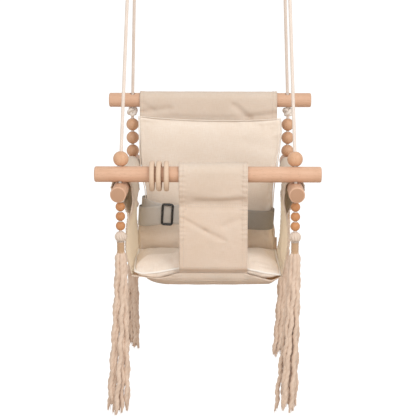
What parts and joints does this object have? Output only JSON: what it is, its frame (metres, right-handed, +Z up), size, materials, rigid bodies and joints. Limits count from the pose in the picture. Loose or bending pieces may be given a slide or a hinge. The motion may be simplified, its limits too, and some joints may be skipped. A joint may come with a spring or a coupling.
{
  "type": "toddler bucket swing",
  "caption": "Hanging canvas toddler swing on wooden bars and cotton ropes, with beads, tassels, play rings, cushions and a waist belt.",
  "frame": {"origin": "hang point: midway between the lowest wires of the two hang rings, on the axis that the ropes turn about", "axes": "+X to the right as seen from the front, +Y to the back of the swing, +Z up; the swing hangs below the origin"},
  "size_m": [0.4, 0.4, 1.0305],
  "materials": {
    "bar_wood": "fine-sanded beech, satin",
    "bead_wood": "turned beech, satin",
    "ring_wood": "pale maple, satin",
    "rope": "twisted white cotton",
    "tassel_cotton": "twisted cotton strands, frayed ends",
    "wrap_cord": "wound tan cord",
    "canvas": "natural cotton canvas",
    "cushion_canvas": "padded cotton canvas",
    "webbing": "woven grey webbing",
    "black_plastic": "glossy black",
    "steel": "satin steel wire"
  },
  "bodies": {
    "hangers": {"left_hang_ring": "steel", "right_hang_ring": "steel"},
    "swing": {"back_bar": "bar_wood", "left_arm_bar": "bar_wood", "right_arm_bar": "bar_wood", "back_canvas": "canvas", "seat_canvas": "canvas", "left_side_canvas": "canvas", "right_side_canvas": "canvas", "crotch_panel": "canvas", "back_cushion": "cushion_canvas", "seat_cushion": "cushion_canvas", "left_belt": "webbing", "right_belt": "webbing", "buckle_socket": "black_plastic", "front_left_rope": "rope", "rear_left_rope": "rope", "rear_left_bar_knot": "rope", "front_right_rope": "rope", "rear_right_rope": "rope", "rear_right_bar_knot": "rope"},
    "front_bar": {"front_bar": "bar_wood"},
    "left_lock_ball": {"left_lock_ball": "bead_wood"},
    "right_lock_ball": {"right_lock_ball": "bead_wood"},
    "play_ring_3": {"play_ring_3": "ring_wood"},
    "play_ring_2": {"play_ring_2": "ring_wood"},
    "play_ring_1": {"play_ring_1": "ring_wood"},
    "rear_left_beads": {"rear_left_bead_1": "bead_wood", "rear_left_bead_2": "bead_wood", "rear_left_bead_3": "bead_wood"},
    "front_left_low_beads": {"front_left_low_bead_1": "bead_wood", "front_left_low_bead_2": "bead_wood", "front_left_low_bead_3": "bead_wood"},
    "front_left_tassel": {"front_left_tassel_knot": "tassel_cotton", "front_left_tassel_wrap": "wrap_cord", "front_left_tassel_skirt": "tassel_cotton"},
    "rear_left_low_beads": {"rear_left_low_bead_1": "bead_wood", "rear_left_low_bead_2": "bead_wood", "rear_left_low_bead_3": "bead_wood"},
    "rear_left_tassel": {"rear_left_tassel_knot": "tassel_cotton", "rear_left_tassel_wrap": "wrap_cord", "rear_left_tassel_skirt": "tassel_cotton"},
    "rear_right_beads": {"rear_right_bead_1": "bead_wood", "rear_right_bead_2": "bead_wood", "rear_right_bead_3": "bead_wood"},
    "front_right_low_beads": {"front_right_low_bead_1": "bead_wood", "front_right_low_bead_2": "bead_wood", "front_right_low_bead_3": "bead_wood"},
    "front_right_tassel": {"front_right_tassel_knot": "tassel_cotton", "front_right_tassel_wrap": "wrap_cord", "front_right_tassel_skirt": "tassel_cotton"},
    "rear_right_low_beads": {"rear_right_low_bead_1": "bead_wood", "rear_right_low_bead_2": "bead_wood", "rear_right_low_bead_3": "bead_wood"},
    "rear_right_tassel": {"rear_right_tassel_knot": "tassel_cotton", "rear_right_tassel_wrap": "wrap_cord", "rear_right_tassel_skirt": "tassel_cotton"},
    "belt_slider": {"belt_slider": "black_plastic"},
    "buckle_tongue": {"buckle_tongue": "black_plastic"}
  },
  "joints": [
    {"name": "swing_hinge", "type": "hinge", "parent": "hangers", "child": "swing", "pos_m": [0, 0, 0], "axis": [1, 0, 0], "range_deg": [-32, 32]},
    {"name": "front_bar_lift", "type": "slide", "parent": "swing", "child": "front_bar", "axis": [0, 0.2642, 0.9645], "range_m": [0, 0.035], "deforming": ["crotch_panel"]},
    {"name": "left_ball_slide", "type": "slide", "parent": "front_bar", "child": "left_lock_ball", "axis": [0.0307, 0.2641, 0.964], "range_m": [0, 0.05]},
    {"name": "right_ball_slide", "type": "slide", "parent": "front_bar", "child": "right_lock_ball", "axis": [-0.0307, 0.2641, 0.964], "range_m": [0, 0.05]},
    {"name": "play_ring_3_slide", "type": "slide", "parent": "front_bar", "child": "play_ring_3", "axis": [1, 0, 0], "range_m": [0, 0.015]},
    {"name": "play_ring_2_slide", "type": "slide", "parent": "play_ring_3", "child": "play_ring_2", "axis": [1, 0, 0], "range_m": [-0.015, 0.0025]},
    {"name": "play_ring_1_slide", "type": "slide", "parent": "play_ring_2", "child": "play_ring_1", "axis": [1, 0, 0], "range_m": [-0.015, 0.0025]},
    {"name": "rear_left_beads_spin", "type": "hinge", "parent": "swing", "child": "rear_left_beads", "pos_m": [-0.155, 0.155, -0.58], "axis": [0, 0, 1], "continuous": true},
    {"name": "front_left_low_beads_spin", "type": "hinge", "parent": "swing", "child": "front_left_low_beads", "pos_m": [-0.155, -0.155, -0.58], "axis": [0, 0, 1], "continuous": true},
    {"name": "front_left_tassel_swing", "type": "hinge", "parent": "swing", "child": "front_left_tassel", "pos_m": [-0.155, -0.155, -0.6635], "axis": [1, 0, 0], "range_deg": [-25, 4]},
    {"name": "rear_left_low_beads_spin", "type": "hinge", "parent": "swing", "child": "rear_left_low_beads", "pos_m": [-0.155, 0.155, -0.58], "axis": [0, 0, 1], "continuous": true},
    {"name": "rear_left_tassel_swing", "type": "hinge", "parent": "swing", "child": "rear_left_tassel", "pos_m": [-0.155, 0.155, -0.6635], "axis": [1, 0, 0], "range_deg": [-4, 25]},
    {"name": "rear_right_beads_spin", "type": "hinge", "parent": "swing", "child": "rear_right_beads", "pos_m": [0.155, 0.155, -0.58], "axis": [0, 0, 1], "continuous": true},
    {"name": "front_right_low_beads_spin", "type": "hinge", "parent": "swing", "child": "front_right_low_beads", "pos_m": [0.155, -0.155, -0.58], "axis": [0, 0, 1], "continuous": true},
    {"name": "front_right_tassel_swing", "type": "hinge", "parent": "swing", "child": "front_right_tassel", "pos_m": [0.155, -0.155, -0.6635], "axis": [1, 0, 0], "range_deg": [-25, 4]},
    {"name": "rear_right_low_beads_spin", "type": "hinge", "parent": "swing", "child": "rear_right_low_beads", "pos_m": [0.155, 0.155, -0.58], "axis": [0, 0, 1], "continuous": true},
    {"name": "rear_right_tassel_swing", "type": "hinge", "parent": "swing", "child": "rear_right_tassel", "pos_m": [0.155, 0.155, -0.6635], "axis": [1, 0, 0], "range_deg": [-4, 25]},
    {"name": "belt_slider_slide", "type": "slide", "parent": "swing", "child": "belt_slider", "axis": [0.9979, 0, -0.0649], "range_m": [-0.012, 0.012]},
    {"name": "buckle_release", "type": "slide", "parent": "swing", "child": "buckle_tongue", "axis": [-0.9979, 0, 0.0649], "range_m": [0, 0.026], "deforming": ["left_belt"]}
  ]
}
